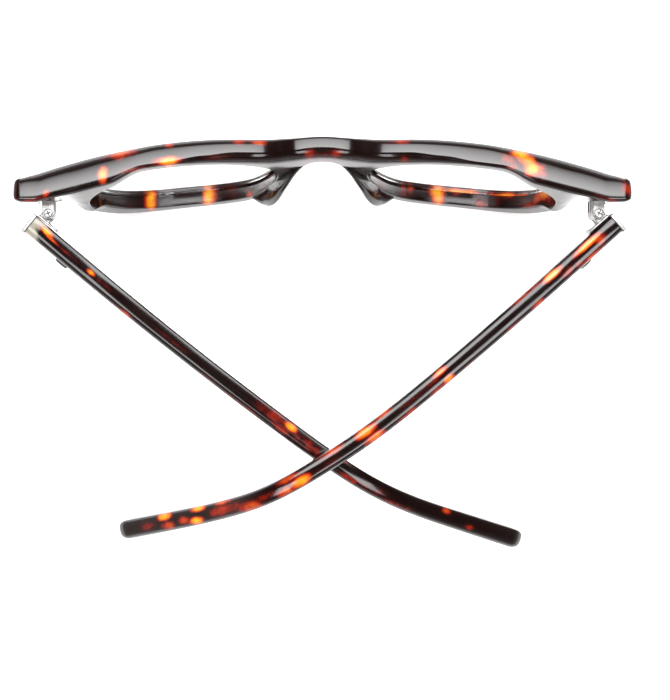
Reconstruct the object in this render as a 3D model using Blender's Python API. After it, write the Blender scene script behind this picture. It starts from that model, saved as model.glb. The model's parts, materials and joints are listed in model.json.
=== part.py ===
"""Folding reading glasses: a thick acetate front and two half folded, crossed temples.

World frame: +X is the wearer's left, +Y runs back towards the ears, +Z is up.
The glasses stand on their lower rims and on both temple tips, centred on the origin.
Lengths below are in millimetres and become metres where a mesh is made.
"""
import math

import bmesh
import bpy
from mathutils import Matrix, Vector
from mathutils.geometry import delaunay_2d_cdt

MM = 0.001

# Where the standing glasses' middle and lowest point lie before they are centred
CENTRE_Y = 49.85
RIM_BOTTOM = 0.62

# Front: outline heights are measured up the front's own plane from the lower rims
PANTOSCOPIC_DEG = 11.0
BRIDGE_TOP = 38.5
BRIDGE_SETBACK = 1.3
BRIDGE_HALF_WIDTH = 16.0
WRAP_START = 20.0
WRAP_DIAMETER = 280.0
RIM_THICKNESS = 5.75
BRIDGE_THICKNESS = 5.0
LOWER_CORNER_THINNING = 0.7
LOWER_CORNER_X = (50.0, 60.0)
END_PIECE_INNER_X = (42.0, 50.0)
END_PIECE_UPRIGHT_X = (56.0, 62.0)
END_PIECE_TOP = 41.8
END_PIECE_UNDERSIDE = (13.0, 21.0)
LOWER_ROLL = 1.3
BROW_ROLLS = [(4, 0.8), (18, 2.0), (38, 2.3), (46, 2.6), (66, 2.6), (72, 1.7)]
BROW_ROLL_HEIGHTS = (20.0, 34.0)
LOWER_BACK_ROLL = 0.5
BROW_BACK_ROLLS = [(8, 2.6), (20, 2.5), (28, 1.7), (36, 0.8), (44, 0.9), (49, 1.3), (72, 1.1)]
BROW_BACK_HEIGHTS = (33.5, 37.0)
OUTLINE_SPACING = 2.6
FACE_SPACING = 4.0

# Lens and the V groove that holds it
LENS_THICKNESS = 1.5
LENS_BULGE = 1.1
GROOVE_DEPTH_IN_RIM = 1.9
GROOVE_WIDTH = 1.2
GROOVE_HEIGHT = 0.7
LENS_EDGE_ROLL = 0.5
LENS_GAP = 0.08
LENS_RING_SHARES = (0.4, 0.75, 0.97)

# Hinges: five knuckles on a screw, behind the flat back of each end piece
HINGE_X = 64.9
HINGE_Y = 18.2
HINGE_Z = 32.0
HINGE_LEAN_DEG = 3.0
STOP_FACE_Y = 15.7
STOP_EDGE_X = 66.9
END_PIECE_SLANT = 0.25
KNUCKLE_RADIUS = 1.45
KNUCKLE_HEIGHT = 1.7
KNUCKLE_COUNT = 5
KNUCKLE_GAP = 0.08
SCREW_RADIUS = 0.7
SCREW_HEAD_RADIUS = 1.1
SCREW_HEAD_HEIGHT = 0.7
SLOT_REACH = 0.68
SLOT_HALF_WIDTH = 0.15
BORE_RADIUS = 0.78
LEAF_THICKNESS = 1.1
LEAF_SLANT = 0.24
LEAF_SHIFT = -0.15
FRONT_LEAF_WIDTH = 5.0
FRONT_LEAF_HEIGHT = 9.4
RECESS_GAP = 0.08

# Temples, in their hinge's frame when open: x outwards, y back, z up
TEMPLE_INNER_FACE = 2.3
TEMPLE_SLOPE_DEG = 3.5
OUTWARD_BOW = 0.9
END_CAP_FRONT = -2.44
END_CAP_THICKNESS = 0.9
END_CAP_OVERHANG = 0.25
TEMPLE_START = -1.48
TEMPLE_LEAF_PROUD = 0.72
TEMPLE_LEAF_LENGTH = 6.0
TEMPLE_LEAF_HEIGHT = 7.6
TIP_LENGTH = 3.4
# per side: fold in the standing pose and length, then where the temple turns in, over how far
# and by how much, and how far its ear piece drops; the upper temple is bent down further
SIDES = {
    "left": {"sign": 1, "fold": 51.6, "length": 146.2, "turn_at": 77.6, "turn_over": 50.0,
             "turn_deg": 18.2, "drop_deg": 23.35},
    "right": {"sign": -1, "fold": 49.4, "length": 150.5, "turn_at": 57.0, "turn_over": 81.0,
              "turn_deg": 21.7, "drop_deg": 39.45},
}
DROP_AT = 90.0
DROP_OVER = 24.0
TEMPLE_WIDTHS = [(0, 4.6), (60, 4.4), (100, 4.35), (150, 4.7)]
TEMPLE_HEIGHTS = [(0, 10.0), (18, 8.4), (50, 6.7), (86, 6.0), (112, 6.6), (138, 7.4), (150, 7.4)]
SECTION_ROLL = 1.4
STATION_SPACING = 6.0
FRAME_STEP = 0.5
BOW_END = 90.0

# Core wire, in a bore that opens at the temple's butt
WIRE_START = 3.0
WIRE_SHORT = 12.0
BORE_SHORT = 11.4
WIRE_RADIUS = 0.62
WIRE_BORE_RADIUS = 0.72

# Nose pads: (share of the width, share of the height) round a pad's section
PAD_LOW = 8.6
PAD_HIGH = 27.5
PAD_PROUD = 4.6
PAD_OVERHANG = 0.6
PAD_WIDTH = (1.6, 3.1)
PAD_LEAN = 0.8
PAD_GAP = 0.12
PAD_RINGS = 9
PAD_PROFILE = [(0.0, 0.0), (0.06, 0.45), (0.2, 0.82), (0.45, 1.0), (0.72, 0.9), (0.95, 0.5),
               (1.0, 0.0)]

# Small plate on each temple's outer face
BADGE_AT = 11.0
BADGE_LENGTH = 3.4
BADGE_HEIGHT = 2.2
BADGE_PROUD = 0.6
TOUCHING_GAP = 0.06

# Half outlines, (distance from the middle, height), clockwise seen from behind
BROW = [(0.0, 38.5), (5.5, 38.6), (10.0, 39.9), (15.5, 41.4), (24.0, 41.8), (36.0, 41.9),
        (50.0, 41.5), (60.0, 40.9), (66.5, 40.6), (71.2, 40.3), (72.3, 39.3), (72.5, 36.4)]
END_PIECE = [(72.5, 32.0), (72.0, 28.2), (69.8, 25.8), (65.6, 24.2), (62.0, 21.6), (59.8, 17.6)]
LOWER_RIM = [(57.4, 12.2), (53.4, 6.8), (47.6, 2.4), (41.0, 0.3), (34.0, 0.0), (26.4, 1.0),
             (19.8, 3.8), (15.2, 8.2)]
NOSE = [(12.2, 13.2), (10.1, 18.4), (8.2, 23.4), (5.8, 27.8), (3.2, 31.3), (0.0, 32.6)]
LENS = [(34.0, 3.3), (25.4, 4.4), (18.4, 8.4), (13.9, 15.4), (11.3, 23.2), (11.3, 30.2),
        (14.8, 35.1), (21.6, 37.4), (32.0, 38.1), (43.0, 38.0), (50.4, 36.2), (54.6, 31.2),
        (55.6, 24.4), (53.8, 15.6), (48.8, 8.4), (42.0, 4.4)]


def smooth(value, start, end):
    k = min(max((value - start) / (end - start), 0.0), 1.0)
    return k * k * (3 - 2 * k)


def along(table, value):
    """Smoothly interpolated value from a short table of (position, value)."""
    for (a, va), (b, vb) in zip(table, table[1:]):
        if value <= b:
            return va + (vb - va) * smooth(value, a, b)
    return table[-1][1]


# ---------------------------------------------------------------- outlines

def curve_through(points, spacing):
    """Closed Catmull-Rom curve through the points, sampled about every spacing."""
    pts = [Vector(p) for p in points]
    n = len(pts)
    out = []
    for i in range(n):
        before, a, b, after = pts[i - 1], pts[i], pts[(i + 1) % n], pts[(i + 2) % n]
        steps = max(1, round((b - a).length / spacing))
        for k in range(steps):
            t = k / steps
            out.append(0.5 * ((2 * a) + (b - before) * t
                              + (2 * before - 5 * a + 4 * b - after) * t ** 2
                              + (3 * a - before - 3 * b + after) * t ** 3))
    return out


def frame_outline():
    half = BROW + END_PIECE + LOWER_RIM + NOSE
    mirrored = [(-x, height) for x, height in reversed(half[1:-1])]
    return counter_clockwise(curve_through(half + mirrored, OUTLINE_SPACING))


def lens_outline(sign):
    loop = [Vector((sign * p.x, p.y)) for p in curve_through(LENS, OUTLINE_SPACING)]
    return counter_clockwise(loop)


def area(loop):
    return 0.5 * sum(a.x * b.y - b.x * a.y for a, b in zip(loop, loop[1:] + loop[:1]))


def counter_clockwise(loop):
    return loop if area(loop) > 0 else loop[::-1]


def offset(loop, distance):
    """The loop moved out by distance along its normals; distance may be a function of a point."""
    out = []
    for i, p in enumerate(loop):
        run = (loop[(i + 1) % len(loop)] - loop[i - 1]).normalized()
        step = distance(p) if callable(distance) else distance
        out.append(p + Vector((run.y, -run.x)) * step)
    return out


def inside(p, loop):
    hit = False
    for a, b in zip(loop, loop[1:] + loop[:1]):
        if (a.y > p.y) != (b.y > p.y) and p.x < a.x + (b.x - a.x) * (p.y - a.y) / (b.y - a.y):
            hit = not hit
    return hit


def clearance(p, loops):
    return min((p - q).length for loop in loops for q in loop)


def triangulate(outer, holes, spacing=None):
    """Triangles of the region inside outer and outside holes, with some inner points."""
    loops = [outer] + holes
    points, edges = [], []
    for loop in loops:
        first = len(points)
        points += loop
        edges += [(first + i, first + (i + 1) % len(loop)) for i in range(len(loop))]
    border = len(points)
    if spacing:
        low = Vector((min(p.x for p in outer), min(p.y for p in outer)))
        high = Vector((max(p.x for p in outer), max(p.y for p in outer)))
        for i in range(math.ceil((high.x - low.x) / spacing)):
            for j in range(math.ceil((high.y - low.y) / spacing)):
                p = Vector((low.x + (i + 0.5) * spacing, low.y + (j + 0.5) * spacing))
                free = inside(p, outer) and not any(inside(p, h) for h in holes)
                if free and clearance(p, loops) > 0.6 * spacing:
                    points.append(p)
    found, _, faces, _, _, _ = delaunay_2d_cdt(points, edges, [], 0, 1e-6)
    kept = []
    for face in faces:
        middle = sum((found[i] for i in face), Vector((0, 0))) / 3
        if inside(middle, outer) and not any(inside(middle, h) for h in holes):
            a, b, c = (found[i] for i in face)
            turned = (b - a).cross(c - a) < 0
            kept.append(face[::-1] if turned else face)
    return found, kept, border


# ---------------------------------------------------------------- mesh helpers

def new_object(name, mesh_data, material, parent=None):
    verts, faces = mesh_data
    mesh = bpy.data.meshes.new(name)
    mesh.from_pydata([Vector(v) * MM for v in verts], [], faces)
    bm = bmesh.new()
    bm.from_mesh(mesh)
    bmesh.ops.recalc_face_normals(bm, faces=bm.faces)
    if bm.calc_volume(signed=True) < 0:
        bmesh.ops.reverse_faces(bm, faces=bm.faces)
    bm.to_mesh(mesh)
    bm.free()
    if material:
        mesh.materials.append(material)
    mesh.shade_smooth()
    mesh.set_sharp_from_angle(angle=math.radians(35))
    obj = bpy.data.objects.new(name, mesh)
    bpy.context.collection.objects.link(obj)
    obj.parent = parent
    return obj


def bridge(rings, closed_ends=True):
    """Quads between consecutive rings of equal length, with flat end caps."""
    verts = [v for ring in rings for v in ring]
    n = len(rings[0])
    faces = [(r * n + i, r * n + (i + 1) % n, (r + 1) * n + (i + 1) % n, (r + 1) * n + i)
             for r in range(len(rings) - 1) for i in range(n)]
    if closed_ends:
        faces.append(tuple(range(n)))
        faces.append(tuple(range((len(rings) - 1) * n, len(rings) * n)))
    return verts, faces


def prism(outer, holes, low, high, place=lambda x, y, z: (x, y, z)):
    """A flat outline with holes, extruded from low to high."""
    found, triangles, _ = triangulate(outer, holes)
    n = len(found)
    verts = [place(p.x, p.y, z) for z in (low, high) for p in found]
    faces = [tuple(reversed(t)) for t in triangles] + [tuple(i + n for i in t) for t in triangles]
    first = 0
    for loop in [outer] + holes:
        k = len(loop)
        faces += [(first + i, first + (i + 1) % k, n + first + (i + 1) % k, n + first + i)
                  for i in range(k)]
        first += k
    return verts, faces


def box(low, high):
    corners = [Vector((x, y)) for x, y in ((low[0], low[1]), (high[0], low[1]),
                                           (high[0], high[1]), (low[0], high[1]))]
    return prism(corners, [], low[2], high[2])


def circle(x, y, radius, count):
    return [Vector((x + radius * math.cos(math.tau * i / count),
                    y + radius * math.sin(math.tau * i / count))) for i in range(count)]


def combine(target, other, operation):
    """A Boolean modifier on target, with other kept as a hidden operand."""
    other.hide_render = True
    other.display_type = "WIRE"
    modifier = target.modifiers.new(operation.lower(), "BOOLEAN")
    modifier.operation = operation
    modifier.solver = "EXACT"
    modifier.object = other


def empty(name, location, rotation, parent=None):
    obj = bpy.data.objects.new(name, None)
    bpy.context.collection.objects.link(obj)
    obj.location = Vector(location) * MM
    obj.rotation_euler = rotation
    obj.parent = parent
    return obj


# ---------------------------------------------------------------- materials

def material(name, colour, roughness, metallic=0.0, transmission=0.0):
    mat = bpy.data.materials.new(name)
    mat.use_nodes = True
    shader = mat.node_tree.nodes["Principled BSDF"]
    shader.inputs["Base Color"].default_value = (*colour, 1.0)
    shader.inputs["Roughness"].default_value = roughness
    shader.inputs["Metallic"].default_value = metallic
    shader.inputs["Transmission Weight"].default_value = transmission
    mat.diffuse_color = (*colour, 1.0)
    return mat


# ---------------------------------------------------------------- the front

TILT = math.radians(PANTOSCOPIC_DEG)


def wrap(x):
    """How far the front face lies behind the bridge at x."""
    setback = BRIDGE_SETBACK * smooth(abs(x), 0, BRIDGE_HALF_WIDTH)
    return setback + max(abs(x) - WRAP_START, 0) ** 2 / WRAP_DIAMETER


def rim_thickness(x, height):
    away_from_bridge = smooth(abs(x), 2, 12)
    low = 1 - smooth(height, 2, 34)
    plain = BRIDGE_THICKNESS + (RIM_THICKNESS - BRIDGE_THICKNESS) * away_from_bridge
    return plain - LOWER_CORNER_THINNING * low * smooth(abs(x), *LOWER_CORNER_X)


def stop_depth(height):
    """Depth, in the front's frame, of the upright plane that the open temple meets."""
    return (STOP_FACE_Y - (BRIDGE_TOP - height) * math.sin(TILT)) / math.cos(TILT)


def back_depth(x, height):
    """Depth of the back face: thickest at the end pieces, whose outer ends stand upright."""
    plain = wrap(x) + rim_thickness(x, height)
    upright = smooth(abs(x), *END_PIECE_UPRIGHT_X)
    stop = stop_depth(END_PIECE_TOP) * (1 - upright) + stop_depth(height) * upright
    slanted = stop - max(STOP_EDGE_X - abs(x), 0) * END_PIECE_SLANT
    share = smooth(abs(x), *END_PIECE_INNER_X) * smooth(height, *END_PIECE_UNDERSIDE)
    return plain + (slanted - plain) * share


def tilted(x, depth, height):
    """From the front's own frame to the world: the top leans forwards."""
    c, s = math.cos(TILT), math.sin(TILT)
    return (x, depth * c + (BRIDGE_TOP - height) * s, depth * s + height * c)


def thickness_at(p):
    return back_depth(p.x, p.y) - wrap(p.x)


def front_roll(p):
    high = smooth(p.y, *BROW_ROLL_HEIGHTS)
    plain = LOWER_ROLL + (along(BROW_ROLLS, abs(p.x)) - LOWER_ROLL) * high
    return min(plain, 0.5 * thickness_at(p))


def back_roll(p):
    high = smooth(p.y, *BROW_BACK_HEIGHTS)
    return LOWER_BACK_ROLL + (along(BROW_BACK_ROLLS, abs(p.x)) - LOWER_BACK_ROLL) * high


def groove_middle(x):
    return wrap(x) + GROOVE_DEPTH_IN_RIM


def edge_rings(loop, outwards, front, back, groove):
    """Rings from a loop's front face, over its edge, to its back face."""
    corner = 1 - math.sqrt(0.5)
    steps = [(front, wrap_at, 1.0, 0.0), (front, wrap_at, corner, corner), (front, wrap_at, 0.0, 1.0)]
    if groove:
        half = GROOVE_WIDTH / 2
        steps += [(None, groove_at, 0.0, -half), (None, groove_at, GROOVE_HEIGHT, 0.0),
                  (None, groove_at, 0.0, half)]
    steps += [(back, back_at, 0.0, -1.0), (back, back_at, corner, -corner), (back, back_at, 1.0, 0.0)]
    rings = []
    for roll, depth_at, inset, sink in steps:
        size = roll or (lambda p: 1.0)
        moved = offset(loop, lambda p: outwards * size(p) * inset)
        rings.append([(q.x, depth_at(q) + size(p) * sink, q.y) for p, q in zip(loop, moved)])
    return rings


def wrap_at(p):
    return wrap(p.x)


def back_at(p):
    return back_depth(p.x, p.y)


def groove_at(p):
    return groove_middle(p.x)


def front_mesh():
    """The front with its two lens openings, rolled edges and a V groove in each opening."""
    def hole_roll(_):
        return LENS_EDGE_ROLL

    groups = [edge_rings(frame_outline(), -1, front_roll, back_roll, False)]
    groups += [edge_rings(lens_outline(s), 1, hole_roll, hole_roll, True) for s in (1, -1)]
    verts, faces, starts = [], [], []
    for group in groups:
        starts.append(len(verts))
        ring_verts, ring_faces = bridge(group, closed_ends=False)
        faces += [tuple(starts[-1] + i for i in f) for f in ring_faces]
        verts += ring_verts
    for which, depth_at in ((0, wrap_at), (-1, back_at)):
        loops = [[Vector((v[0], v[2])) for v in group[which]] for group in groups]
        found, triangles, border = triangulate(loops[0], loops[1:], FACE_SPACING)
        index = []
        for start, group in zip(starts, groups):
            n = len(group[0])
            first = start + (which % len(group)) * n
            index += range(first, first + n)
        for p in found[border:]:
            index.append(len(verts))
            verts.append((p.x, depth_at(p), p.y))
        faces += [tuple(index[i] for i in t) for t in triangles]
    return [tilted(*v) for v in verts], faces


def lens_mesh(sign):
    """A meniscus lens whose V edge sits in the groove."""
    rim = offset(lens_outline(sign), GROOVE_HEIGHT - LENS_GAP * 1.6)
    shoulder = offset(lens_outline(sign), -LENS_GAP)
    middle = sum(shoulder, Vector((0, 0))) / len(shoulder)
    half = LENS_THICKNESS / 2

    def ring(loop, share, thick):
        depth = LENS_BULGE * (1 - share * share)
        out = []
        for p in loop:
            q = middle + (p - middle) * share
            out.append(tilted(q.x, groove_middle(q.x) - depth + thick, q.y))
        return out

    v_half = GROOVE_WIDTH / 2 - LENS_GAP
    rings = [ring(shoulder, share, -half) for share in LENS_RING_SHARES]
    rings += [ring(shoulder, 1.0, -v_half), ring(rim, 1.0, 0.0), ring(shoulder, 1.0, v_half)]
    rings += [ring(shoulder, share, half) for share in reversed(LENS_RING_SHARES)]
    return bridge(rings)


def nose_edge(height):
    """Half width of the nose arch at a height."""
    edge = LOWER_RIM[-1:] + NOSE
    for (x, low), (next_x, high) in zip(edge, edge[1:]):
        if height <= high:
            return x + (next_x - x) * (height - low) / (high - low)
    return edge[-1][0]


def nose_pad_mesh(sign):
    """A pad that swells from the back of the rim beside the nose arch."""
    rings = []
    for k in range(PAD_RINGS):
        share_up = k / (PAD_RINGS - 1)
        height = PAD_LOW + (PAD_HIGH - PAD_LOW) * share_up
        swell = math.sin(math.pi * (0.07 + 0.9 * share_up ** 1.15)) ** 0.8
        width = PAD_WIDTH[0] + (PAD_WIDTH[1] - PAD_WIDTH[0]) * swell
        proud = 0.5 + (PAD_PROUD - 0.5) * swell
        ring = []
        for across, share in PAD_PROFILE:
            x = nose_edge(height) - PAD_OVERHANG + width * across + PAD_LEAN * share
            depth = back_depth(x, height) + PAD_GAP + proud * share
            ring.append(tilted(sign * x, depth, height))
        rings.append(ring)
    return bridge(rings)


# ---------------------------------------------------------------- hinges

def knuckle_levels():
    """(low, high) of each knuckle along the hinge's axis, bottom first."""
    bottom = -KNUCKLE_COUNT * KNUCKLE_HEIGHT / 2
    return [(bottom + i * KNUCKLE_HEIGHT + KNUCKLE_GAP / 2,
             bottom + (i + 1) * KNUCKLE_HEIGHT - KNUCKLE_GAP / 2) for i in range(KNUCKLE_COUNT)]


def knuckle_outline(reach_x, reach_y):
    """A round knuckle about the axis with a straight web out to one side."""
    r = KNUCKLE_RADIUS
    out = []
    steps = 10
    facing = math.atan2(reach_y, reach_x)
    for i in range(steps + 1):
        angle = facing + math.pi / 2 + math.pi * i / steps
        out.append(Vector((r * math.cos(angle), r * math.sin(angle))))
    along_web = Vector((reach_x, reach_y))
    across = Vector((-reach_y, reach_x)).normalized() * r
    out += [along_web - across, along_web + across]
    return counter_clockwise(out)


def leaf_outline(sign, margin, open_back=0.0):
    """The front leaf's plate, seen from above: it follows the slanted back of the end piece."""
    half = FRONT_LEAF_WIDTH / 2
    outer, inner = half + LEAF_SHIFT + margin, -half + LEAF_SHIFT - margin
    face = STOP_FACE_Y - HINGE_Y - 0.02
    slant = LEAF_SLANT * (outer - inner)
    points = [(outer, face + open_back), (outer, face - LEAF_THICKNESS - margin),
              (inner, face - slant - LEAF_THICKNESS - margin), (inner, face - slant + open_back)]
    return counter_clockwise([Vector((sign * x, y)) for x, y in points])


def front_leaf(side, parent, mat):
    """Plate let into the end piece's back, with three knuckles."""
    sign = SIDES[side]["sign"]
    face = STOP_FACE_Y - HINGE_Y
    half_h = FRONT_LEAF_HEIGHT / 2
    plate = prism(leaf_outline(sign, 0.0), [], -half_h, half_h)
    leaf = new_object(f"front_hinge_leaf_{side}", plate, mat, parent)
    hole = circle(0, 0, BORE_RADIUS, 12)[::-1]
    for i, (low, high) in enumerate(knuckle_levels()):
        if i % 2 == 0:
            shape = prism(knuckle_outline(0, face - 0.6), [hole], low, high)
            knuckle = new_object(f"front_knuckle_{side}_{i}", shape, mat, parent)
            combine(leaf, knuckle, "UNION")
    return leaf


def temple_leaf(side, parent, mat):
    """Plate on the temple's inner face, with two knuckles."""
    sign = SIDES[side]["sign"]
    inner = TEMPLE_INNER_FACE - TOUCHING_GAP
    outer_face = TEMPLE_INNER_FACE - TEMPLE_LEAF_PROUD
    start = END_CAP_FRONT + END_CAP_THICKNESS + TOUCHING_GAP
    half_h = TEMPLE_LEAF_HEIGHT / 2
    end = start + TEMPLE_LEAF_LENGTH
    slant = 0.6
    outline = [Vector(p) for p in ((sign * outer_face, start), (sign * inner, start),
                                   (sign * inner, end), (sign * (outer_face + 0.1), end - slant))]
    plate = prism(counter_clockwise(outline), [], -half_h, half_h)
    leaf = new_object(f"temple_hinge_leaf_{side}", plate, mat, parent)
    hole = circle(0, 0, BORE_RADIUS, 12)[::-1]
    for i, (low, high) in enumerate(knuckle_levels()):
        if i % 2 == 1:
            shape = prism(knuckle_outline(sign * (outer_face + 0.3), 0), [hole], low, high)
            knuckle = new_object(f"temple_knuckle_{side}_{i}", shape, mat, parent)
            combine(leaf, knuckle, "UNION")
    return leaf


def screw(side, parent, mat):
    """Cross-slotted screw down the hinge's axis."""
    top = knuckle_levels()[-1][1] + TOUCHING_GAP
    bottom = knuckle_levels()[0][0] - 0.2
    head = SCREW_HEAD_RADIUS
    profile = [(SCREW_RADIUS, bottom), (SCREW_RADIUS, top), (head, top),
               (head, top + SCREW_HEAD_HEIGHT * 0.6), (head * 0.8, top + SCREW_HEAD_HEIGHT)]
    rings = [[(p.x, p.y, z) for p in circle(0, 0, r, 16)] for r, z in profile]
    body = new_object(f"hinge_screw_{side}", bridge(rings), mat, parent)
    deep = top + SCREW_HEAD_HEIGHT * 0.45
    for name, x, y in (("slot", SLOT_REACH, SLOT_HALF_WIDTH), ("cross", SLOT_HALF_WIDTH, SLOT_REACH)):
        cutter = box((-x, -y, deep), (x, y, top + 2))
        combine(body, new_object(f"screw_{name}_{side}", cutter, None, parent), "DIFFERENCE")
    return body


# ---------------------------------------------------------------- temples

def temple_frames(side):
    """(arc length, place, tangent, outward, up) along a temple, in its hinge's frame."""
    shape = SIDES[side]
    sign = shape["sign"]
    place = Vector((TEMPLE_INNER_FACE + along(TEMPLE_WIDTHS, 0) / 2, TEMPLE_START, 0))
    bow_rate = math.pi / BOW_END
    out = []
    arc = 0.0
    while arc <= shape["length"] + 1e-6:
        turn = math.radians(shape["turn_deg"]) * smooth(arc, shape["turn_at"],
                                                         shape["turn_at"] + shape["turn_over"])
        turn -= OUTWARD_BOW * bow_rate * math.cos(bow_rate * arc) * (1 - smooth(arc, BOW_END - 6,
                                                                                BOW_END + 6))
        slope = math.radians(TEMPLE_SLOPE_DEG)
        drop = slope + (math.radians(shape["drop_deg"]) - slope) * smooth(arc, DROP_AT,
                                                                          DROP_AT + DROP_OVER)
        tangent = Vector((-math.sin(turn), math.cos(turn) * math.cos(drop),
                          -math.cos(turn) * math.sin(drop)))
        facing = tangent if arc > 0.1 else Vector((0, 1, 0))
        outward = facing.cross(Vector((0, 0, 1))).normalized()
        up = outward.cross(facing)
        flip = Vector((sign, 1, 1))
        out.append((arc, place * flip, tangent * flip, outward * flip, up * flip))
        place = place + tangent * FRAME_STEP
        arc += FRAME_STEP
    return out


def section(width, height, roll, corner_steps=3):
    """A rounded rectangle, as (outwards, up) points."""
    out = []
    for cx, cy, start in ((1, 1, 0), (-1, 1, 90), (-1, -1, 180), (1, -1, 270)):
        for k in range(corner_steps):
            angle = math.radians(start + 90 * k / (corner_steps - 1))
            out.append((cx * (width / 2 - roll) + roll * math.cos(angle),
                        cy * (height / 2 - roll) + roll * math.sin(angle)))
    return out


def frame_at(frames, arc):
    return frames[min(round(arc / FRAME_STEP), len(frames) - 1)]


def ring_at(frames, arc, points):
    _, place, _, outward, up = frame_at(frames, arc)
    return [tuple(place + outward * x + up * z) for x, z in points]


def stations(start, end, spacing):
    count = max(1, round((end - start) / spacing))
    return [start + (end - start) * i / count for i in range(count + 1)]


def round_section(radius, count=8):
    return [(p.x, p.y) for p in circle(0, 0, radius, count)]


def temple_mesh(side):
    """The acetate temple, with a narrow bore down its middle that is open at the butt."""
    frames = temple_frames(side)
    rings = []
    for arc in reversed(stations(0, SIDES[side]["length"] - BORE_SHORT, STATION_SPACING)):
        rings.append(ring_at(frames, arc, round_section(WIRE_BORE_RADIUS, 12)))
    shoulder = SIDES[side]["length"] - TIP_LENGTH
    for arc in stations(0, shoulder, STATION_SPACING):
        width, height = along(TEMPLE_WIDTHS, arc), along(TEMPLE_HEIGHTS, arc)
        rings.append(ring_at(frames, arc, section(width, height, SECTION_ROLL)))
    for share in (0.5, 0.8, 0.95, 1.0):
        arc = shoulder + TIP_LENGTH * share
        size = math.sqrt(max(1 - share ** 2, 0.06))
        width, height = along(TEMPLE_WIDTHS, arc), along(TEMPLE_HEIGHTS, arc)
        roll = min(SECTION_ROLL, 0.45 * width * size)
        points = section(width * (0.35 + 0.65 * size), height * (0.3 + 0.7 * size), roll)
        rings.append(ring_at(frames, arc, points))
    return bridge(rings)


def wire_mesh(side):
    """The core wire, pointed at its front end."""
    frames = temple_frames(side)
    rings = [ring_at(frames, WIRE_START, round_section(WIRE_RADIUS * 0.25, 8))]
    for arc in stations(WIRE_START + 2, SIDES[side]["length"] - WIRE_SHORT, STATION_SPACING):
        rings.append(ring_at(frames, arc, round_section(WIRE_RADIUS, 8)))
    return bridge(rings)


def end_cap_mesh(side):
    """Thin metal cap on the temple's butt."""
    frames = temple_frames(side)
    _, place, _, outward, up = frames[0]
    width, height = along(TEMPLE_WIDTHS, 0), along(TEMPLE_HEIGHTS, 0)
    points = section(width + 2 * END_CAP_OVERHANG, height + 2 * END_CAP_OVERHANG, SECTION_ROLL)
    start = END_CAP_FRONT - TEMPLE_START
    rings = []
    for shift in (start, start + END_CAP_THICKNESS):
        at = place + Vector((0, shift, 0))
        rings.append([tuple(at + outward * x + up * z) for x, z in points])
    return bridge(rings)


def badge_mesh(side):
    """A plain pointed oval plate on the temple's outer face."""
    frames = temple_frames(side)
    _, place, tangent, outward, up = frame_at(frames, BADGE_AT)
    width = along(TEMPLE_WIDTHS, BADGE_AT)
    outline = [(math.cos(a) * BADGE_LENGTH / 2, math.sin(a) * BADGE_HEIGHT / 2)
               for a in (math.tau * i / 10 for i in range(10))]
    rings = []
    for proud, size in ((TOUCHING_GAP + 0.05, 1.0), (BADGE_PROUD * 0.55, 1.0), (BADGE_PROUD, 0.6)):
        base = place + outward * (width / 2 + proud)
        rings.append([tuple(base + tangent * x * size + up * z * size) for x, z in outline])
    return bridge(rings)


# ---------------------------------------------------------------- assembly

def build():
    for obj in list(bpy.data.objects):
        bpy.data.objects.remove(obj, do_unlink=True)
    acetate = material("tortoiseshell_acetate", (0.09, 0.02, 0.008), 0.08)
    lens_mat = material("lens", (0.95, 0.97, 0.98), 0.02, transmission=1.0)
    steel = material("hinge_metal", (0.83, 0.83, 0.84), 0.18, metallic=1.0)
    wire_mat = material("core_wire_metal", (0.55, 0.54, 0.53), 0.3, metallic=1.0)

    root = empty("glasses", (0, -CENTRE_Y, -RIM_BOTTOM), (0, 0, 0))
    front = new_object("frame_front", front_mesh(), acetate, root)
    for side, shape in SIDES.items():
        sign = shape["sign"]
        new_object(f"lens_{side}", lens_mesh(sign), lens_mat, root)
        new_object(f"nose_pad_{side}", nose_pad_mesh(sign), acetate, root)
        hinge = empty(f"hinge_{side}", (sign * HINGE_X, HINGE_Y, HINGE_Z),
                      (0, -math.radians(HINGE_LEAN_DEG), 0), root)
        fold = empty(f"fold_{side}", (0, 0, 0), (0, 0, sign * math.radians(shape["fold"])), hinge)
        front_leaf(side, hinge, steel)
        screw(side, hinge, steel)
        half_h = FRONT_LEAF_HEIGHT / 2 + RECESS_GAP
        recess = prism(leaf_outline(sign, RECESS_GAP, open_back=3.0), [], -half_h, half_h)
        combine(front, new_object(f"recess_{side}", recess, None, hinge), "DIFFERENCE")
        temple_leaf(side, fold, steel)
        new_object(f"temple_{side}", temple_mesh(side), acetate, fold)
        new_object(f"core_wire_{side}", wire_mesh(side), wire_mat, fold)
        new_object(f"temple_end_cap_{side}", end_cap_mesh(side), steel, fold)
        new_object(f"temple_badge_{side}", badge_mesh(side), steel, fold)


build()
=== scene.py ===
"""Studio view of folding reading glasses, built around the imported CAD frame.

Object axes: +X is the wearer's left, +Y runs back towards the ears, +Z is up.
Shapes are worked out in millimetres and become metres where a mesh is made.
"""

import json
import math

import bmesh
import bpy
from mathutils import Matrix, Vector
from mathutils.geometry import delaunay_2d_cdt


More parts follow.
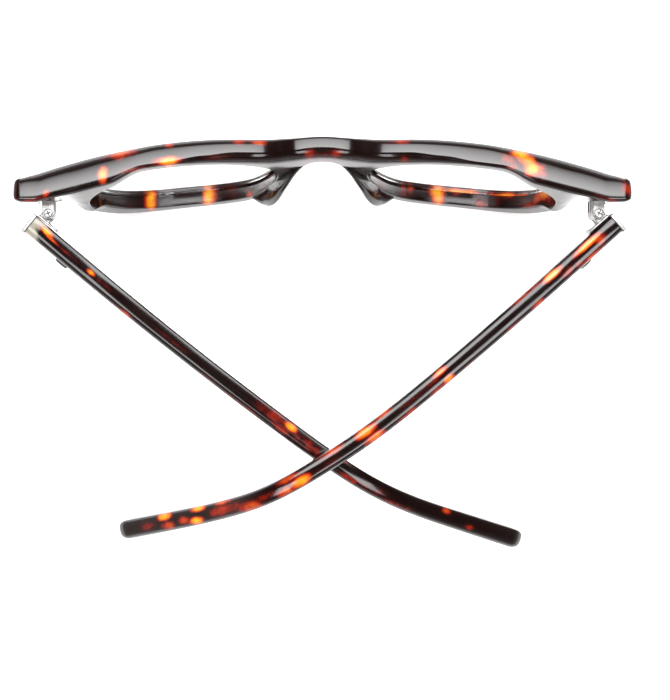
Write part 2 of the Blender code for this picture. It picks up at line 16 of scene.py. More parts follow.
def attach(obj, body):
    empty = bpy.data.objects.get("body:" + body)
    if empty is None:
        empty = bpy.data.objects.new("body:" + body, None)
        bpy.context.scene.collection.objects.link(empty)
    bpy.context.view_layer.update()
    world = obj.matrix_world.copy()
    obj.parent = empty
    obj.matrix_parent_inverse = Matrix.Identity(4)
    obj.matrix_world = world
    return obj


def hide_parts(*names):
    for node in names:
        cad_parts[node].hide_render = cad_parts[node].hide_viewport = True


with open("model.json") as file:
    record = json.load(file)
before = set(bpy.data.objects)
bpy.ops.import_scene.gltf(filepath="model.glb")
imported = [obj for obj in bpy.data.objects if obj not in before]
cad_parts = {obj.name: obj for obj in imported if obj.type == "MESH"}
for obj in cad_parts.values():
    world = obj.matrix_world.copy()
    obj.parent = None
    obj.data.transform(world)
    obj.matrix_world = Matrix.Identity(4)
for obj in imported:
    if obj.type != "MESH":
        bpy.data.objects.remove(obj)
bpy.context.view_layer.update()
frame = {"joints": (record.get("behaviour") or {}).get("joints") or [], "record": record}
MM = 0.001

# ---------------------------------------------------------------- sizes of the front, as in CAD
PANTOSCOPIC_DEG = 11.0
BRIDGE_TOP = 38.5
BRIDGE_SETBACK = 1.3
BRIDGE_HALF_WIDTH = 16.0
WRAP_START = 20.0
WRAP_DIAMETER = 280.0
RIM_THICKNESS = 5.75
BRIDGE_THICKNESS = 5.0
LOWER_CORNER_THINNING = 0.7
LOWER_CORNER_X = (50.0, 60.0)
END_PIECE_INNER_X = (42.0, 50.0)
END_PIECE_UPRIGHT_X = (56.0, 62.0)
END_PIECE_TOP = 41.8
END_PIECE_UNDERSIDE = (13.0, 21.0)
LOWER_ROLL = 1.3
BROW_ROLLS = [(4, 0.8), (18, 2.0), (38, 2.3), (46, 2.9), (66, 2.9), (72, 1.7)]
BROW_ROLL_HEIGHTS = (20.0, 34.0)
LOWER_BACK_ROLL = 0.4
BROW_BACK_ROLLS = [(8, 2.6), (20, 2.5), (28, 1.7), (36, 0.8), (44, 0.9), (49, 1.3), (72, 1.1)]
BROW_BACK_HEIGHTS = (33.5, 37.0)
LENS_EDGE_ROLL = 0.5
CROWN_RADIUS = 11.0

# Mesh density
OUTLINE_SPACING = 0.6
FACE_SPACING = 1.7
ROLL_STEPS = 9
CROWN_STEPS = 6

# Lens
LENS_THICKNESS = 1.5
LENS_BULGE = 1.1
GROOVE_DEPTH_IN_RIM = 1.9
GROOVE_WIDTH = 1.2
GROOVE_HEIGHT = 0.7
LENS_GAP = 0.08

# Hinge, in the front's own coordinates and about its axis
HINGE_X = 64.9
HINGE_Y = 18.2
HINGE_Z = 32.0
HINGE_LEAN_DEG = 3.0
STOP_FACE_Y = 15.7
STOP_EDGE_X = 66.9
END_PIECE_SLANT = 0.25
KNUCKLE_RADIUS = 1.45
KNUCKLE_HEIGHT = 1.7
KNUCKLE_COUNT = 5
KNUCKLE_GAP = 0.08
SCREW_RADIUS = 0.7
SCREW_HEAD_RADIUS = 1.1
SCREW_HEAD_HEIGHT = 0.7
SCREW_SIDES = 40
SLOT_HALF_LENGTH = 0.72
SLOT_HALF_WIDTH = 0.13
SLOT_FLOOR_SHARE = 0.45
SLOT_TURNS_DEG = (25, 115)
LEAF_THICKNESS = 1.1
LEAF_SLANT = 0.24
LEAF_SHIFT = -0.15
FRONT_LEAF_WIDTH = 5.0
FRONT_LEAF_HEIGHT = 9.4
RECESS_GAP = 0.08
TOUCHING_GAP = 0.06
BEVEL_WIDTH = 0.18
BEVEL_ANGLE_DEG = 35

# Temples
TEMPLE_INNER_FACE = 2.3
TEMPLE_SLOPE_DEG = 3.5
OUTWARD_BOW = 0.9
BOW_END = 90.0
BOW_FADE = 6
END_CAP_FRONT = -2.44
END_CAP_THICKNESS = 0.9
END_CAP_OVERHANG = 0.25
END_CAP_CORNER = (0.5, 20)
TEMPLE_START = -1.48
TEMPLE_LEAF_PROUD = 0.72
TEMPLE_LEAF_LENGTH = 6.0
TEMPLE_LEAF_HEIGHT = 7.6
TIP_LENGTH = 3.4
SIDES = {
    "left": {"sign": 1, "length": 146.2, "turn_at": 77.6, "turn_over": 50.0,
             "turn_deg": 18.2, "drop_deg": 23.35, "outer": (1.6, 3.8), "inner": (0.5, 8.5)},
    "right": {"sign": -1, "length": 150.5, "turn_at": 57.0, "turn_over": 81.0,
              "turn_deg": 21.7, "drop_deg": 39.45, "outer": (1.5, 6.5), "inner": (1.0, 4.6)},
}
DROP_AT = 90.0
DROP_OVER = 24.0
TEMPLE_WIDTHS = [(0, 4.6), (60, 4.4), (100, 4.35), (150, 4.7)]
TEMPLE_HEIGHTS = [(0, 10.0), (18, 8.4), (50, 6.7), (86, 6.0), (112, 6.6), (138, 7.4), (150, 7.4)]
STATION_SPACING = 0.8
TIP_RINGS = 14
FRAME_STEP = 0.5
WIRE_START = 3.0
WIRE_SHORT = 12.0
WIRE_RADIUS = 0.62

# Nose pads
PAD_LOW = 7.5
PAD_HIGH = 30.5
PAD_PROUD = 4.6
PAD_OVERHANG = 0.6
PAD_WIDTH = (1.6, 3.1)
PAD_LEAN = 0.8
PAD_SUNK = 0.5
PAD_RINGS = 26
PAD_PROFILE_STEPS = 4
PAD_PROFILE = [(0.0, 0.0), (0.06, 0.45), (0.2, 0.82), (0.45, 1.0), (0.72, 0.9), (0.95, 0.5),
               (1.0, 0.0)]

# Badge on each temple's outer face
BADGE_AT = 11.0
BADGE_LENGTH = 3.4
BADGE_HEIGHT = 2.2
BADGE_PROUD = 0.6

# Half outlines, (distance from the middle, height), clockwise seen from behind
BROW = [(0.0, 38.5), (5.5, 38.6), (10.0, 39.9), (15.5, 41.4), (24.0, 41.8), (36.0, 41.9),
        (50.0, 41.5), (60.0, 40.9), (66.5, 40.6), (71.2, 40.3), (72.3, 39.3), (72.5, 36.4)]
END_PIECE = [(72.5, 32.0), (72.0, 28.2), (69.8, 25.8), (65.6, 24.2), (62.0, 21.6), (59.8, 17.6)]
LOWER_RIM = [(57.4, 12.2), (53.4, 6.8), (47.6, 2.4), (41.0, 0.3), (34.0, 0.0), (26.4, 1.0),
             (19.8, 3.8), (15.2, 8.2)]
NOSE = [(12.2, 13.2), (10.1, 18.4), (8.2, 23.4), (5.8, 27.8), (3.2, 31.3), (0.0, 32.6)]
LENS = [(34.0, 3.3), (25.4, 4.4), (18.4, 8.4), (13.9, 15.4), (11.3, 23.2), (11.3, 30.2),
        (14.8, 35.1), (21.6, 37.4), (32.0, 38.1), (43.0, 38.0), (50.4, 36.2), (54.6, 31.2),
        (55.6, 24.4), (53.8, 15.6), (48.8, 8.4), (42.0, 4.4)]

# Patches in the front's acetate, listed one by one: (x, depth behind the front face, height up the
# front, half length, half depth, how honey-coloured from 0 to 1)
# Some rows are painted glow rather than honey patches: the red-orange rows at the back of the bridge
# (height 36) and at the two outer ends (x about 71 to 72 either side) paint light shining through the
# thin acetate there.
FRONT_PATCHES_AND_GLOWS = [
    (51.3, 5.4, 41, 1.3, 1.6, 0.97), (47.0, 0.8, 41, 3.6, 1.6, 0.58), (44.5, 5.8, 41, 6.5, 0.8, 0.40),
    (36.0, 4.8, 41, 2.8, 1.0, 0.98), (36.0, 0.8, 41, 1.4, 1.0, 0.52), (64.4, 6.2, 40, 1.0, 1.1, 0.64),
    (68.0, 6.8, 40, 4.5, 0.9, 0.38), (72.0, 4.0, 38, 0.9, 5.0, 0.33), (19.6, 0.8, 41, 2.0, 1.1, 0.44),
    (15.2, 1.2, 41, 1.9, 0.8, 0.58), (24.0, 4.6, 41, 4.0, 0.9, 0.30), (2.9, 4.2, 36, 1.5, 1.2, 0.44),
    (-3.2, 4.2, 36, 1.5, 1.2, 0.46), (0.0, 4.4, 36, 4.0, 0.9, 0.33), (-18.4, 1.0, 41, 2.6, 1.0, 0.44),
    (-19.0, 5.2, 41, 2.0, 0.8, 0.36), (-46.4, 1.6, 41, 2.4, 1.6, 0.86), (-43.4, 3.4, 41, 2.8, 1.6, 0.40),
    (-49.2, 4.6, 41, 2.2, 1.8, 0.98), (-47.8, 3.0, 41, 2.0, 1.6, 0.80), (-44.5, 5.0, 41, 3.0, 0.8, 0.36),
    (-71.0, 2.4, 39, 1.5, 2.0, 0.46), (-68.0, 7.0, 40, 4.0, 0.8, 0.33),
    (42.8, 3.4, 4, 1.5, 2.6, 0.97), (28.3, 3.6, 4, 1.5, 2.6, 0.99), (18.0, 4.8, 8, 1.1, 1.0, 0.62),
    (23.0, 3.0, 6, 3.0, 2.0, 0.34), (36.0, 4.4, 4, 4.0, 0.7, 0.34), (48.0, 4.8, 8, 3.0, 0.8, 0.30),
    (-19.8, 3.4, 6, 1.1, 2.0, 0.50), (-21.8, 3.4, 6, 1.1, 1.4, 0.62), (-28.4, 3.4, 4, 2.2, 2.6, 1.0),
    (-34.0, 1.4, 4, 5.5, 0.8, 0.88), (-39.6, 4.4, 4, 2.6, 1.3, 0.58), (-46.0, 1.6, 6, 4.0, 0.8, 0.80),
    (-50.3, 4.4, 10, 1.7, 1.4, 0.58), (-54.0, 2.4, 17, 1.6, 1.6, 0.88), (-57.6, 5.8, 14, 1.8, 1.4, 0.78),
    (-14.0, 4.0, 20, 2.0, 1.6, 0.36), (13.6, 4.0, 20, 2.0, 1.6, 0.30),
]
# The same on each temple: (distance along, distance towards the outer side, half length,
# half width, strength)
# Some rows, such as the narrow red streak near the left butt at 9.5 mm, are painted glow of light
# shining through the temple's thin edge.
TEMPLE_PATCHES_AND_GLOWS = {
    "left": [(3.6, -1.1, 2.0, 0.7, 1.0), (5.6, -0.4, 2.2, 0.4, 0.72), (9.5, -0.3, 5.0, 0.4, 0.38),
             (17.8, -0.4, 1.2, 0.6, 0.88), (21.0, -0.2, 3.0, 0.5, 0.36), (30.0, 2.0, 3.2, 0.7, 0.44),
             (42.0, 0.0, 9.0, 0.6, 0.28), (56.0, 1.9, 4.0, 0.7, 0.34), (72.0, -0.6, 6.0, 1.6, 0.38),
             (66.0, 2.0, 7.0, 0.8, 0.34), (78.0, -0.9, 1.9, 0.9, 0.95), (76.0, 0.8, 3.0, 1.0, 0.44),
             (84.0, 0.0, 6.0, 1.6, 0.34), (96.0, 1.2, 3.0, 0.9, 0.46), (92.0, -1.6, 4.0, 0.7, 0.40),
             (102.0, 0.6, 5.0, 1.2, 0.30), (110.0, 1.4, 4.0, 0.9, 0.36), (122.5, -1.4, 1.4, 0.8, 0.46),
             (130.0, 0.6, 1.7, 0.9, 0.42)],
    "right": [(8.0, -1.0, 4.5, 0.8, 0.84), (5.0, 0.0, 2.0, 1.6, 0.44), (9.0, 1.9, 3.2, 0.8, 0.60),
              (12.0, 1.2, 1.8, 0.8, 0.44), (19.0, -1.2, 2.8, 0.9, 0.98), (16.0, 0.8, 3.0, 0.9, 0.36),
              (26.0, 1.6, 2.2, 0.8, 0.52), (26.0, -1.9, 5.0, 0.6, 0.48), (34.0, 2.0, 4.0, 0.8, 0.34),
              (47.0, 2.1, 5.0, 0.6, 0.36), (54.0, -1.2, 2.2, 0.8, 0.76), (53.4, 1.4, 1.6, 0.9, 0.84),
              (57.0, 1.7, 2.6, 0.8, 0.52), (60.0, -0.4, 8.0, 0.8, 0.30), (66.0, 1.8, 4.0, 0.9, 0.44),
              (75.6, 1.3, 3.0, 1.1, 0.72), (76.6, -1.0, 3.2, 1.2, 0.88), (71.0, -1.8, 3.0, 0.7, 0.52),
              (86.0, -1.6, 4.0, 1.0, 0.55), (88.0, 0.6, 4.0, 1.0, 0.34), (95.6, 0.6, 2.4, 1.3, 0.92),
              (100.0, 1.0, 2.2, 1.1, 0.60), (98.0, -1.4, 3.0, 0.8, 0.58), (109.0, 1.0, 3.6, 1.6, 0.56),
              (104.5, 0.0, 3.0, 1.2, 0.40), (116.0, 0.0, 6.0, 1.8, 0.42), (116.0, -1.9, 3.0, 0.6, 0.60),
              (124.0, -1.8, 2.4, 0.8, 0.88), (125.0, 1.0, 2.0, 1.0, 0.92), (129.0, 0.2, 2.0, 1.2, 0.50),
              (133.6, 0.8, 2.4, 1.3, 0.56), (134.4, -1.5, 2.2, 1.0, 0.93), (140.0, 0.0, 3.0, 1.4, 0.36)],
}
# How far the pale stretch reaches from each butt
PALE_BUTT = {"left": 3.2, "right": 0.0}
PALE_COLOUR = (0.20, 0.18, 0.145, 1.0)
PATCH_REACH = 2.0
PAD_PATCH_SHARE = 0.3


# ---------------------------------------------------------------- helpers

def smooth(value, start, end):
    k = min(max((value - start) / (end - start), 0.0), 1.0)
    return k * k * (3 - 2 * k)


def along(table, value):
    """Smoothly interpolated value from a short table of (position, value)."""
    for (a, va), (b, vb) in zip(table, table[1:]):
        if value <= b:
            return va + (vb - va) * smooth(value, a, b)
    return table[-1][1]


def between(before, a, b, after, t):
    """The Catmull-Rom point at share t of the way from a to b."""
    return 0.5 * ((2 * a) + (b - before) * t
                  + (2 * before - 5 * a + 4 * b - after) * t ** 2
                  + (3 * a - before - 3 * b + after) * t ** 3)


def curve_through(points, spacing):
    """Closed Catmull-Rom curve through the points, sampled about every spacing."""
    pts = [Vector(p) for p in points]
    n = len(pts)
    out = []
    for i in range(n):
        before, a, b, after = pts[i - 1], pts[i], pts[(i + 1) % n], pts[(i + 2) % n]
        steps = max(1, round((b - a).length / spacing))
        for k in range(steps):
            out.append(between(before, a, b, after, k / steps))
    return out


def area(loop):
    return 0.5 * sum(a.x * b.y - b.x * a.y for a, b in zip(loop, loop[1:] + loop[:1]))


def counter_clockwise(loop):
    return loop if area(loop) > 0 else loop[::-1]


def offset(loop, distance):
    """The loop moved out by distance(point) along its normals."""
    out = []
    for i, p in enumerate(loop):
        run = (loop[(i + 1) % len(loop)] - loop[i - 1]).normalized()
        out.append(p + Vector((run.y, -run.x)) * distance(p))
    return out


def inside(p, loop):
    hit = False
    for a, b in zip(loop, loop[1:] + loop[:1]):
        if (a.y > p.y) != (b.y > p.y) and p.x < a.x + (b.x - a.x) * (p.y - a.y) / (b.y - a.y):
            hit = not hit
    return hit


def triangulate(outer, holes, spacing=None):
    """Triangles of the region inside outer and outside holes, with some inner points."""
    loops = [outer] + holes
    points, edges = [], []
    for loop in loops:
        first = len(points)
        points += loop
        edges += [(first + i, first + (i + 1) % len(loop)) for i in range(len(loop))]
    border = len(points)
    if spacing:
        coarse = [p for loop in loops for p in loop[::2]]
        low = Vector((min(p.x for p in outer), min(p.y for p in outer)))
        high = Vector((max(p.x for p in outer), max(p.y for p in outer)))
        for i in range(math.ceil((high.x - low.x) / spacing)):
            for j in range(math.ceil((high.y - low.y) / spacing)):
                shift = 0.5 if j % 2 else 0.0
                p = Vector((low.x + (i + shift) * spacing, low.y + (j + 0.5) * spacing))
                free = inside(p, outer) and not any(inside(p, h) for h in holes)
                if free and min((p - q).length_squared for q in coarse) > (0.6 * spacing) ** 2:
                    points.append(p)
    found, _, faces, _, _, _ = delaunay_2d_cdt(points, edges, [], 0, 1e-6)
    kept = []
    for face in faces:
        middle = sum((found[i] for i in face), Vector((0, 0))) / 3
        if inside(middle, outer) and not any(inside(middle, h) for h in holes):
            kept.append(face)
    return found, kept, border


def bridge(rings, closed_ends=True):
    """Quads between consecutive rings of equal length, with end caps."""
    verts = [v for ring in rings for v in ring]
    n = len(rings[0])
    faces = [(r * n + i, r * n + (i + 1) % n, (r + 1) * n + (i + 1) % n, (r + 1) * n + i)
             for r in range(len(rings) - 1) for i in range(n)]
    if closed_ends:
        faces.append(tuple(range(n)))
        faces.append(tuple(range((len(rings) - 1) * n, len(rings) * n)))
    return verts, faces


def prism(outline, low, high):
    """A flat outline extruded from low to high."""
    return bridge([[(p.x, p.y, z) for p in outline] for z in (low, high)])


def circle(x, y, radius, count):
    return [Vector((x + radius * math.cos(math.tau * i / count),
                    y + radius * math.sin(math.tau * i / count))) for i in range(count)]


def new_piece(name, mesh_data, place, material, sharp_deg=40):
    """A mesh object named name, with its millimetre shape placed by a matrix in metres."""
    verts, faces = mesh_data
    mesh = bpy.data.meshes.new(name)
    mesh.from_pydata([place @ (Vector(v) * MM) for v in verts], [], faces)
    bm = bmesh.new()
    bm.from_mesh(mesh)
    bmesh.ops.recalc_face_normals(bm, faces=bm.faces)
    if bm.calc_volume(signed=True) < 0:
        bmesh.ops.reverse_faces(bm, faces=bm.faces)
    bm.to_mesh(mesh)
    bm.free()
    mesh.materials.append(material)
    mesh.shade_smooth()
    mesh.set_sharp_from_angle(angle=math.radians(sharp_deg))
    obj = bpy.data.objects.new(name, mesh)
    bpy.context.scene.collection.objects.link(obj)
    return obj


def stand_in(obj, node):
    """obj takes the place of a CAD node and moves with that node's body."""
    bodies = frame["record"]["behaviour"]["bodies"]
    body = next(b for b, nodes in bodies.items() if node in nodes)
    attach(obj, body)
    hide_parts(node)
    return obj


def bevelled(obj, edge_material):
    """Rounds the sharp edges of a metal piece; the rounded strips take the edge material."""
    obj.data.materials.append(edge_material)
    modifier = obj.modifiers.new("bevel", "BEVEL")
    modifier.width = BEVEL_WIDTH * MM
    modifier.segments = 3
    modifier.limit_method = "ANGLE"
    modifier.angle_limit = math.radians(BEVEL_ANGLE_DEG)
    modifier.material = 1
    return obj


def cut(target, tool):
    """Subtracts tool from target at once, and removes tool."""
    modifier = target.modifiers.new("cut", "BOOLEAN")
    modifier.operation = "DIFFERENCE"
    modifier.solver = "EXACT"
    modifier.object = tool
    depsgraph = bpy.context.evaluated_depsgraph_get()
    mesh = bpy.data.meshes.new_from_object(target.evaluated_get(depsgraph), depsgraph=depsgraph)
    target.modifiers.remove(modifier)
    target.data = mesh
    bpy.data.objects.remove(tool)


def paint(obj, name, values):
    """Stores one number on each vertex."""
    attribute = obj.data.attributes.new(name, "FLOAT", "POINT")
    attribute.data.foreach_set("value", values)


# ---------------------------------------------------------------- materials

def nodes_of(name):
    mat = bpy.data.materials.new(name)
    mat.use_nodes = True
    tree = mat.node_tree
    tree.nodes.clear()
    out = tree.nodes.new("ShaderNodeOutputMaterial")
    return mat, tree, out


def node(tree, kind, settings=None, **inputs):
    """A node with its properties set and its inputs given as values or as sockets to link."""
    made = tree.nodes.new(kind)
    for key, value in (settings or {}).items():
        setattr(made, key, value)
    for key, value in inputs.items():
        socket = made.inputs[int(key[1:])] if key[0] == "i" and key[1:].isdigit() else made.inputs[
            key.replace("_", " ")]
        if isinstance(value, bpy.types.NodeSocket):
            tree.links.new(value, socket)
        else:
            socket.default_value = value
    return made


def ramp(tree, factor, stops):
    made = tree.nodes.new("ShaderNodeValToRGB")
    while len(made.color_ramp.elements) < len(stops):
        made.color_ramp.elements.new(0.5)
    for element, (at, colour) in zip(made.color_ramp.elements, stops):
        element.position = at
        element.color = (*colour, 1.0)
    tree.links.new(factor, made.inputs["Fac"])
    return made.outputs["Color"]


TORTOISE = [(0.0, (0.0036, 0.0012, 0.0010)), (0.18, (0.006, 0.0015, 0.0012)),
            (0.30, (0.026, 0.002, 0.0015)), (0.44, (0.14, 0.007, 0.002)),
            (0.58, (0.29, 0.034, 0.002)), (0.74, (0.40, 0.105, 0.003)), (1.0, (0.48, 0.25, 0.010))]


def acetate_material(name):
    """Polished tortoiseshell acetate: painted honey patches broken up by noise; some patches are painted
    glow of light shining through thin edges.
    """
    mat, tree, out = nodes_of(name)
    place = node(tree, "ShaderNodeTexCoord").outputs["Object"]
    amber_and_glow = node(tree, "ShaderNodeAttribute", {"attribute_name": "amber_and_glow"}).outputs["Fac"]
    bare = node(tree, "ShaderNodeAttribute", {"attribute_name": "pale"}).outputs["Fac"]
    broad = node(tree, "ShaderNodeTexNoise", {}, Vector=place, Scale=260.0, Detail=3.0,
                 Roughness=0.55, Distortion=0.6).outputs["Fac"]
    fine = node(tree, "ShaderNodeTexNoise", {}, Vector=place, Scale=1100.0, Detail=4.0,
                Roughness=0.6).outputs["Fac"]
    broken = node(tree, "ShaderNodeMath", {"operation": "MULTIPLY_ADD"}, i0=broad, i1=0.5,
                  i2=-0.25).outputs[0]
    speckled = node(tree, "ShaderNodeMath", {"operation": "MULTIPLY_ADD"}, i0=fine, i1=0.14,
                    i2=-0.07).outputs[0]
    weight = node(tree, "ShaderNodeMath", {"operation": "ADD"}, i0=broken, i1=speckled).outputs[0]
    level = node(tree, "ShaderNodeMath", {"operation": "ADD", "use_clamp": True}, i0=amber_and_glow,
                 i1=weight).outputs[0]
    colour = ramp(tree, level, TORTOISE)
    pale = node(tree, "ShaderNodeMix", {"data_type": "RGBA"}, i0=bare, i6=colour,
                i7=PALE_COLOUR).outputs[2]
    smudge = node(tree, "ShaderNodeTexNoise", {}, Vector=place, Scale=90.0, Detail=5.0).outputs["Fac"]
    rough = node(tree, "ShaderNodeMapRange", {}, Value=smudge, From_Min=0.35, From_Max=0.75,
                 To_Min=0.11, To_Max=0.17).outputs[0]
    ripple = node(tree, "ShaderNodeTexNoise", {}, Vector=place, Scale=320.0, Detail=1.0).outputs["Fac"]
    bump = node(tree, "ShaderNodeBump", {}, Strength=0.05, Distance=0.00004, Height=ripple)
    shader = node(tree, "ShaderNodeBsdfPrincipled", {}, Base_Color=pale, Roughness=rough, IOR=1.5,
                  Normal=bump.outputs[0])
    tree.links.new(shader.outputs[0], out.inputs["Surface"])
    return mat


def lens_material():
    """Clear plastic that bends light, and lets lamps shine through."""
    mat, tree, out = nodes_of("lens_plastic")
    place = node(tree, "ShaderNodeTexCoord").outputs["Object"]
    smudge = node(tree, "ShaderNodeTexNoise", {}, Vector=place, Scale=70.0, Detail=4.0).outputs["Fac"]
    rough = node(tree, "ShaderNodeMapRange", {}, Value=smudge, From_Min=0.45, From_Max=0.85,
                 To_Min=0.0, To_Max=0.02).outputs[0]
    tint = ramp(tree, smudge, [(0.3, (0.99, 0.992, 0.992)), (0.8, (0.975, 0.98, 0.982))])
    plastic = node(tree, "ShaderNodeBsdfPrincipled", {}, Base_Color=tint, Roughness=rough, IOR=1.5,
                   Transmission_Weight=1.0)
    open_air = node(tree, "ShaderNodeBsdfTransparent", {}, Color=tint)
    lamp = node(tree, "ShaderNodeLightPath").outputs["Is Shadow Ray"]
    mix = node(tree, "ShaderNodeMixShader", {}, i0=lamp, i1=plastic.outputs[0],
               i2=open_air.outputs[0])
    tree.links.new(mix.outputs[0], out.inputs["Surface"])
    return mat


def lens_edge_material():
    """The ground chamfer round the lens: pinkish white and satin."""
    mat, tree, out = nodes_of("lens_edge")
    place = node(tree, "ShaderNodeTexCoord").outputs["Object"]
    grain = node(tree, "ShaderNodeTexNoise", {}, Vector=place, Scale=900.0, Detail=3.0).outputs["Fac"]
    colour = ramp(tree, grain, [(0.3, (0.30, 0.20, 0.20)), (0.7, (0.42, 0.32, 0.32))])
    shader = node(tree, "ShaderNodeBsdfPrincipled", {}, Base_Color=colour, Roughness=0.25,
                  Transmission_Weight=0.35)
    tree.links.new(shader.outputs[0], out.inputs["Surface"])
    return mat


def metal_material(name, light, dark, roughness):
    """Polished metal with faint drawing marks and duller spots of wear."""
    mat, tree, out = nodes_of(name)
    place = node(tree, "ShaderNodeTexCoord").outputs["Object"]
    wear = node(tree, "ShaderNodeTexNoise", {}, Vector=place, Scale=700.0, Detail=4.0).outputs["Fac"]
    colour = ramp(tree, wear, [(0.35, dark), (0.6, light)])
    rough = node(tree, "ShaderNodeMapRange", {}, Value=wear, From_Min=0.3, From_Max=0.7,
                 To_Min=roughness * 1.8, To_Max=roughness).outputs[0]
    marks = node(tree, "ShaderNodeTexNoise", {}, Vector=place, Scale=4000.0, Detail=2.0).outputs["Fac"]
    bump = node(tree, "ShaderNodeBump", {}, Strength=0.15, Distance=0.00002, Height=marks)
    shader = node(tree, "ShaderNodeBsdfPrincipled", {}, Base_Color=colour, Roughness=rough,
                  Metallic=1.0, Normal=bump.outputs[0])
    tree.links.new(shader.outputs[0], out.inputs["Surface"])
    return mat


def edge_shade_material():
    """Painted shade: near-black colour for the metal's bevels and slots, drawing their dark outlines."""
    mat, tree, out = nodes_of("painted_edge_shade")
    place = node(tree, "ShaderNodeTexCoord").outputs["Object"]
    shade_noise = node(tree, "ShaderNodeTexNoise", {}, Vector=place, Scale=1500.0, Detail=3.0).outputs["Fac"]
    colour = ramp(tree, shade_noise, [(0.35, (0.012, 0.009, 0.008)), (0.7, (0.05, 0.042, 0.035))])
    shader = node(tree, "ShaderNodeBsdfPrincipled", {}, Base_Color=colour, Roughness=0.45)
    tree.links.new(shader.outputs[0], out.inputs["Surface"])
    return mat


# ---------------------------------------------------------------- the front

TILT = math.radians(PANTOSCOPIC_DEG)


def frame_outline():
    """The front's outer edge as (x, height), counter-clockwise."""
    half = BROW + END_PIECE + LOWER_RIM + NOSE
    mirrored = [(-x, height) for x, height in reversed(half[1:-1])]
    return counter_clockwise(curve_through(half + mirrored, OUTLINE_SPACING))


def lens_outline(sign):
    loop = [Vector((sign * p.x, p.y)) for p in curve_through(LENS, OUTLINE_SPACING)]
    return counter_clockwise(loop)


def wrap(x):
    """How far the front face lies behind the bridge at x."""
    setback = BRIDGE_SETBACK * smooth(abs(x), 0, BRIDGE_HALF_WIDTH)
    return setback + max(abs(x) - WRAP_START, 0) ** 2 / WRAP_DIAMETER


def rim_thickness(x, height):
    away_from_bridge = smooth(abs(x), 2, 12)
    low = 1 - smooth(height, 2, 34)
    plain = BRIDGE_THICKNESS + (RIM_THICKNESS - BRIDGE_THICKNESS) * away_from_bridge
    return plain - LOWER_CORNER_THINNING * low * smooth(abs(x), *LOWER_CORNER_X)


def stop_depth(height):
    """Depth, in the front's frame, of the upright plane that the open temple meets."""
    return (STOP_FACE_Y - (BRIDGE_TOP - height) * math.sin(TILT)) / math.cos(TILT)


def back_depth(x, height):
    """Depth of the back face: thickest at the end pieces, whose outer ends stand upright."""
    plain = wrap(x) + rim_thickness(x, height)
    upright_share = smooth(abs(x), *END_PIECE_UPRIGHT_X)
    stop = stop_depth(END_PIECE_TOP) * (1 - upright_share) + stop_depth(height) * upright_share
    slanted = stop - max(STOP_EDGE_X - abs(x), 0) * END_PIECE_SLANT
    share = smooth(abs(x), *END_PIECE_INNER_X) * smooth(height, *END_PIECE_UNDERSIDE)
    return plain + (slanted - plain) * share


def tilted(x, depth, height):
    """From the front's own frame to the world: the top leans forwards."""
    c, s = math.cos(TILT), math.sin(TILT)
    return (x, depth * c + (BRIDGE_TOP - height) * s, depth * s + height * c)


def upright(p, shift):
    """From a world point, in millimetres, back to (x, depth, height) on the front."""
    c, s = math.cos(TILT), math.sin(TILT)
    y, z = p.y - shift.y - BRIDGE_TOP * s, p.z - shift.z
    return p.x, y * c + z * s, z * c - y * s


def groove_middle(x):
    return wrap(x) + GROOVE_DEPTH_IN_RIM


def edge_profile(thickness, front, back):
    """(inset, depth) from the front face over a crowned edge to the back face."""
    middle = (front + thickness - back) / 2
    corners = []
    for side, roll, half in ((-1, front, middle), (1, back, thickness - middle)):
        reach = half - roll
        for _ in range(4):
            reach = half - roll * (1 - math.sin(reach / CROWN_RADIUS))
        lean = reach / CROWN_RADIUS
        sag = reach * reach / (2 * CROWN_RADIUS)
        corner = []
        for k in range(ROLL_STEPS + 1):
            angle = lean + (math.pi / 2 - lean) * k / ROLL_STEPS
            corner.append((sag + roll * (math.cos(lean) - math.cos(angle)),
                           middle + side * (reach + roll * (math.sin(angle) - math.sin(lean)))))
        corners.append(corner)
    start, end = corners[0][0][1], corners[1][0][1]
    band = []
    for k in range(1, CROWN_STEPS):
        depth = start + (end - start) * k / CROWN_STEPS
        band.append(((depth - middle) ** 2 / (2 * CROWN_RADIUS), depth))
    return corners[0][::-1] + band + corners[1]


def corner_radii(loop):
    """The radius of the circle through each point and its neighbours."""
    out = []
    for i, p in enumerate(loop):
        a, b = loop[i - 1], loop[(i + 1) % len(loop)]
        cross = abs((p - a).cross(b - p))
        out.append((p - a).length * (b - p).length * (b - a).length / max(2 * cross, 1e-6))
    return [min(out[i - 1], out[i], out[(i + 1) % len(out)]) for i in range(len(out))]


def front_roll(p, thickness, corner):
    high = smooth(p.y, *BROW_ROLL_HEIGHTS)
    plain = LOWER_ROLL + (along(BROW_ROLLS, abs(p.x)) - LOWER_ROLL) * high
    return min(plain, 0.5 * thickness, 0.9 * corner)


def back_roll(p, corner):
    high = smooth(p.y, *BROW_BACK_HEIGHTS)
    plain = LOWER_BACK_ROLL + (along(BROW_BACK_ROLLS, abs(p.x)) - LOWER_BACK_ROLL) * high
    return min(plain, 0.9 * corner)


def outer_rings():
    """Rings round the front's outside, from its front face to its back face."""
    loop = frame_outline()
    profiles = []
    for p, corner in zip(loop, corner_radii(loop)):
        thickness = back_depth(p.x, p.y) - wrap(p.x)
        profiles.append(edge_profile(thickness, front_roll(p, thickness, corner),
                                     back_roll(p, corner)))
    rings = []
    for k in range(len(profiles[0])):
        insets = iter([profile[k][0] for profile in profiles])
        moved = offset(loop, lambda p: -next(insets))
        rings.append([(q.x, wrap(q.x) + profile[k][1], q.y) for q, profile in zip(moved, profiles)])
    return rings


